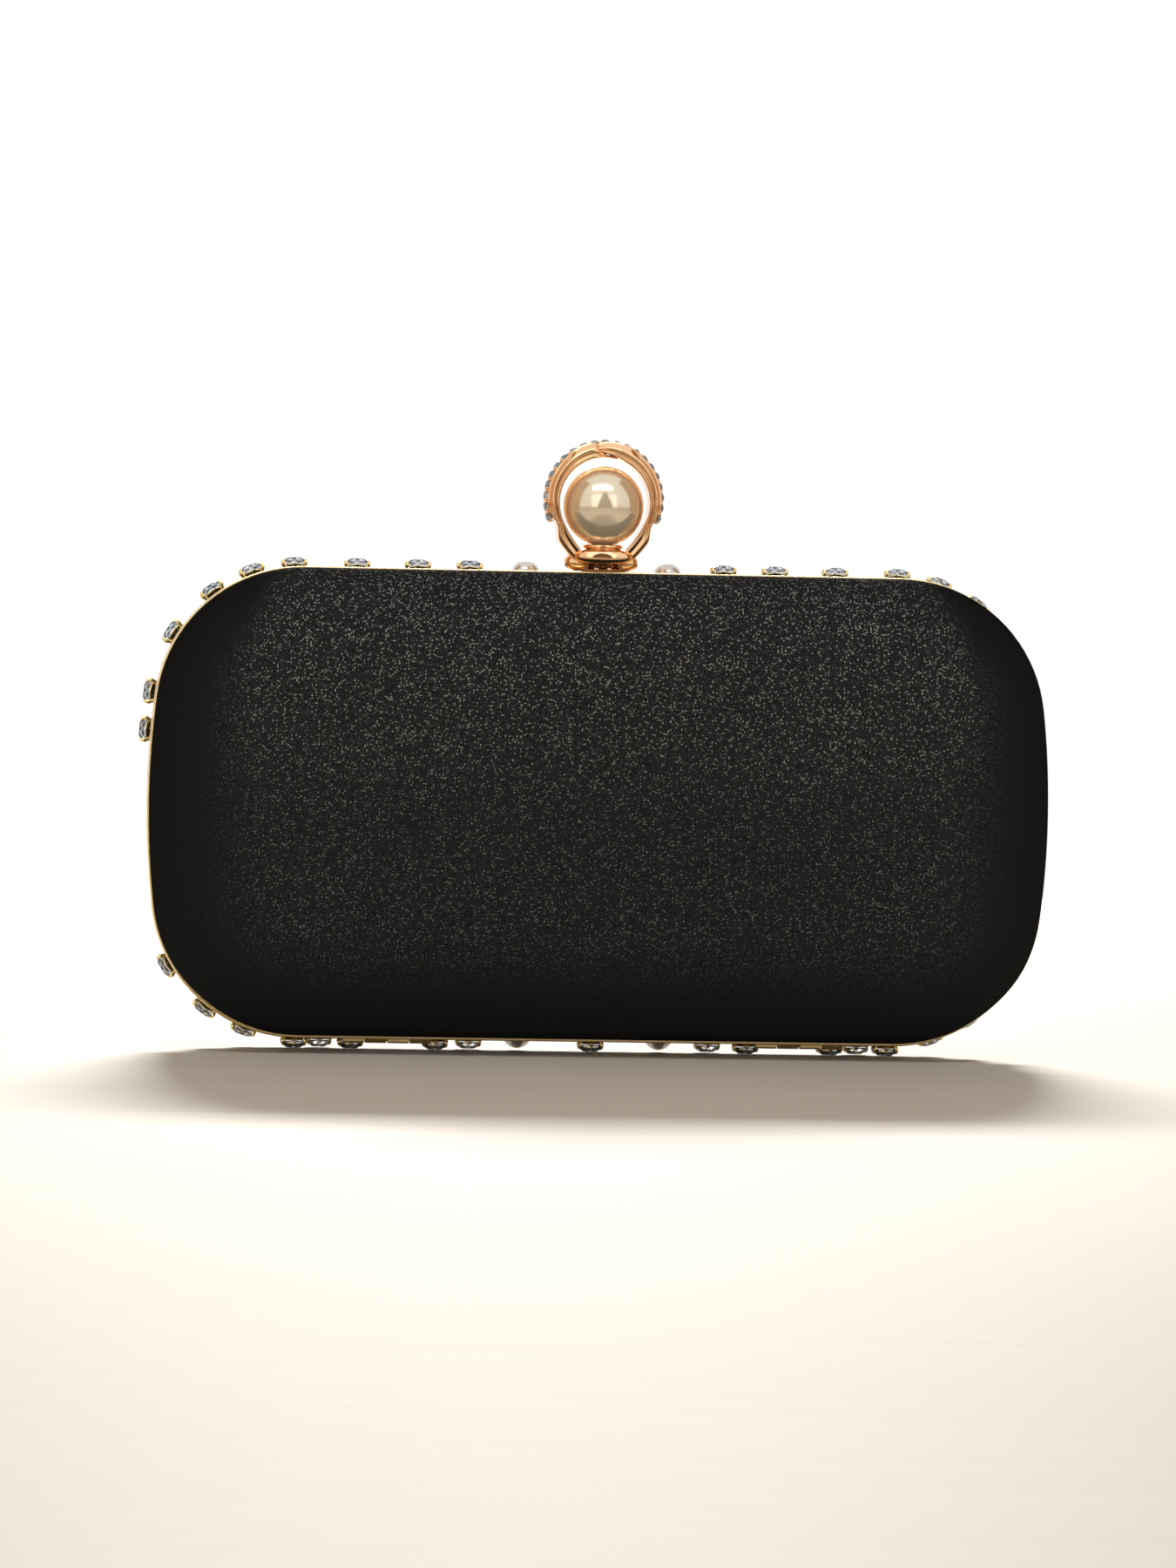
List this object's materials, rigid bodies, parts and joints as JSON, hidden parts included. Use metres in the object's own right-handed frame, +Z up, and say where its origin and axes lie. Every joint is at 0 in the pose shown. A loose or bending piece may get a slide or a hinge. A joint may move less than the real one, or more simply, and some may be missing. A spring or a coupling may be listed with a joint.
{
  "type": "clutch purse",
  "caption": "Hard-sided evening clutch, plain satin rear, stone and pearl trimmed front lid on bottom hinges, closed by a rocking ring clasp that holds a pearl.",
  "frame": {"origin": "under the middle of the bag's depth and width, on the surface it stands on", "axes": "+X along the width, +Y from the plain rear half to the trimmed front lid, +Z up"},
  "size_m": [0.193, 0.049, 0.1293],
  "materials": {
    "black_satin": "soft satin weave with a low sheen",
    "black_glitter_cloth": "rough black cloth with fine glitter",
    "foam": "thin foam sheet",
    "shell_board": "moulded hard shell",
    "black_lining": "smooth matt lining cloth",
    "pale_gold": "polished, pale gold plate",
    "rose_gold": "polished, rose gold plate",
    "steel": "drawn pin and spring steel",
    "clear_stone": "cut and polished clear glass",
    "white_pearl": "glass bead with an ivory pearl coat",
    "champagne_pearl": "glass bead with a champagne pearl coat"
  },
  "bodies": {
    "rear_half": {"rear_cover": "black_satin", "rear_padding": "foam", "rear_shell": "shell_board", "rear_lining": "black_lining", "rear_frame": "pale_gold", "left_hinge_rear_knuckles": "pale_gold", "right_hinge_rear_knuckles": "pale_gold", "left_hinge_pin": "steel", "right_hinge_pin": "steel", "clasp_bracket": "rose_gold", "bracket_rivets": "rose_gold", "clasp_pivot_pin": "steel", "clasp_spring": "steel"},
    "lid": {"front_cover": "black_glitter_cloth", "front_padding": "foam", "front_shell": "shell_board", "front_lining": "black_lining", "front_frame": "pale_gold", "left_hinge_front_knuckles": "pale_gold", "right_hinge_front_knuckles": "pale_gold", "clasp_keeper": "rose_gold", "edge_stones": "clear_stone", "edge_settings": "pale_gold", "bottom_stones": "clear_stone", "bottom_settings": "pale_gold", "face_stones": "clear_stone", "face_settings": "pale_gold", "edge_pearls": "white_pearl", "face_large_pearls": "white_pearl", "face_small_pearls": "white_pearl"},
    "clasp": {"clasp_cap": "rose_gold", "clasp_ring": "rose_gold", "ring_stones": "clear_stone", "pearl_cup": "rose_gold", "clasp_pearl": "champagne_pearl", "pearl_peg": "rose_gold"}
  },
  "joints": [
    {"name": "lid_hinge", "type": "hinge", "parent": "rear_half", "child": "lid", "pos_m": [0, -0.00351, 0.00247], "axis": [-1, 0, 0], "range_deg": [0, 60]},
    {"name": "clasp_rocker", "type": "hinge", "parent": "rear_half", "child": "clasp", "pos_m": [0, -0.00521, 0.10327], "axis": [1, 0, 0], "range_deg": [0, 12], "stiffness_Nm_per_rad": 0.15, "springref_deg": -20.05, "deforming": ["clasp_spring"]}
  ]
}
